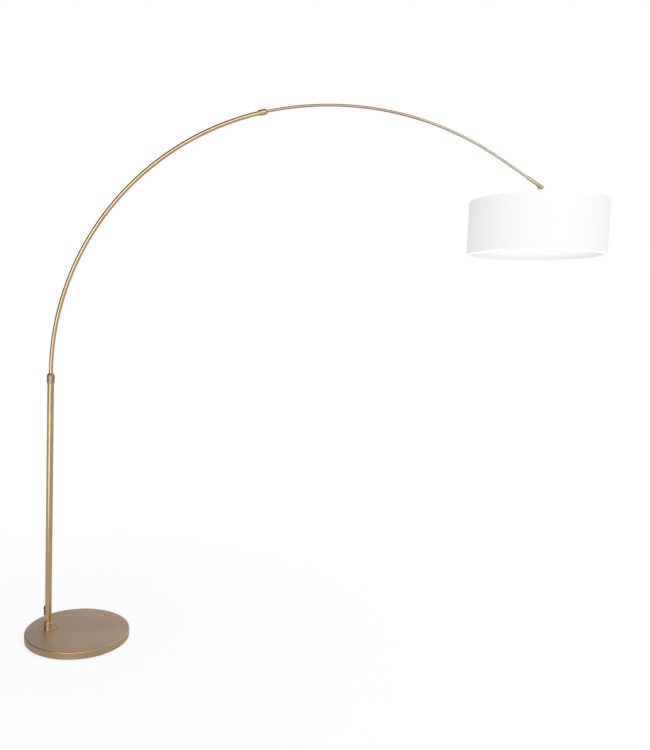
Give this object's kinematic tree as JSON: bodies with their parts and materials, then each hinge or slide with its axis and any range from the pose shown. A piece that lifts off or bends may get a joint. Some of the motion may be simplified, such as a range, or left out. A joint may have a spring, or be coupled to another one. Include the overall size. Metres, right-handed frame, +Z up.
{
  "type": "arc floor lamp",
  "caption": "Arc floor lamp with a weighted round base, a telescoping pole and arc locked by twist collars, and a fabric drum shade that tilts on a knuckle.",
  "frame": {"origin": "centre of the base's underside, on the floor", "axes": "+Z up, +X the way the arc reaches, from the pole to the shade, +Y to the left of that"},
  "size_m": [2.1719, 0.4998, 2.0738],
  "materials": {
    "felt": "matte felt",
    "base_cover": "satin antique bronze",
    "bronze_tube": "brushed antique brass",
    "brass_trim": "brushed antique brass",
    "cast_iron": "raw casting",
    "zinc_steel": "zinc plated",
    "plate_black": "matte black paint",
    "black_plastic": "matte",
    "nylon": "matte nylon",
    "block_plastic": "matte",
    "cord_black": "matte",
    "holder_black": "moulded phenolic",
    "ceramic": "unglazed",
    "contact_brass": "bright",
    "white_wire": "satin white",
    "liner": "matte, translucent",
    "shade_fabric": "plain weave",
    "bulb_metal": "satin",
    "opal_glass": "opal, satin"
  },
  "bodies": {
    "stand": {"floor_pad": "felt", "bottom_plate": "plate_black", "plate_screws": "zinc_steel", "ballast": "cast_iron", "base_cover": "base_cover", "cord_grommet": "black_plastic", "cord_clamp": "black_plastic", "terminal_block": "block_plastic", "stud_nut": "zinc_steel", "stud_washer": "zinc_steel", "foot_stud": "zinc_steel", "pole_plug": "zinc_steel", "foot_ferrule": "brass_trim", "pole_tube": "bronze_tube", "switch_housing": "black_plastic", "switch_terminals": "contact_brass", "pole_collet": "nylon", "stand_flex": "cord_black", "slack_coil": "cord_black"},
    "rocker": {"switch_rocker": "black_plastic"},
    "height_ring": {"height_collar": "brass_trim"},
    "slider": {"stem_bush": "nylon"},
    "arc": {"stem_clips": "zinc_steel", "lower_arc_tube": "bronze_tube", "arc_collet": "nylon", "arc_flex": "cord_black"},
    "reach_ring": {"reach_collar": "brass_trim"},
    "upper": {"upper_arc_tube": "bronze_tube", "tube_guide": "nylon", "upper_flex": "cord_black", "end_sleeve": "brass_trim", "sleeve_grub_screw": "zinc_steel", "knuckle_screw": "zinc_steel", "knuckle_nut": "zinc_steel"},
    "head": {"knuckle_tongue": "brass_trim", "lamp_nipple": "brass_trim", "nipple_nuts": "brass_trim", "holder_cap": "holder_black", "lampholder": "holder_black", "holder_insert": "ceramic", "centre_contact": "contact_brass", "socket_shell": "contact_brass", "shade_ring": "holder_black", "shade_spider": "white_wire", "bottom_ring": "white_wire", "shade_liner": "liner", "shade_fabric": "shade_fabric", "bulb_cap": "bulb_metal", "bulb_glass": "opal_glass"}
  },
  "joints": [
    {"name": "switch_tilt", "type": "hinge", "parent": "stand", "child": "rocker", "pos_m": [-0.127, 0, 0.1], "axis": [0, 1, 0], "range_deg": [0, 14]},
    {"name": "height_lock", "type": "hinge", "parent": "stand", "child": "height_ring", "pos_m": [-0.115, 0, 1.011], "axis": [0, 0, 1], "range_deg": [0, 90]},
    {"name": "height_slide", "type": "slide", "parent": "stand", "child": "slider", "axis": [0, 0, 1], "range_m": [0, 0.25], "deforming": ["slack_coil"]},
    {"name": "arc_swivel", "type": "hinge", "parent": "slider", "child": "arc", "pos_m": [-0.115, 0, 1], "axis": [0, 0, 1], "range_deg": [-175, 175]},
    {"name": "reach_lock", "type": "hinge", "parent": "arc", "child": "reach_ring", "pos_m": [0.66086, 0, 2.03203], "axis": [0.9681, 0, 0.2504], "range_deg": [0, 90]},
    {"name": "reach", "type": "hinge", "parent": "arc", "child": "upper", "pos_m": [0.92, 0, 1.03], "axis": [0, 1, 0], "range_deg": [0, 14]},
    {"name": "shade_tilt", "type": "hinge", "parent": "upper", "child": "head", "pos_m": [1.72008, 0, 1.80167], "axis": [0, 1, 0], "range_deg": [-35, 35]}
  ]
}
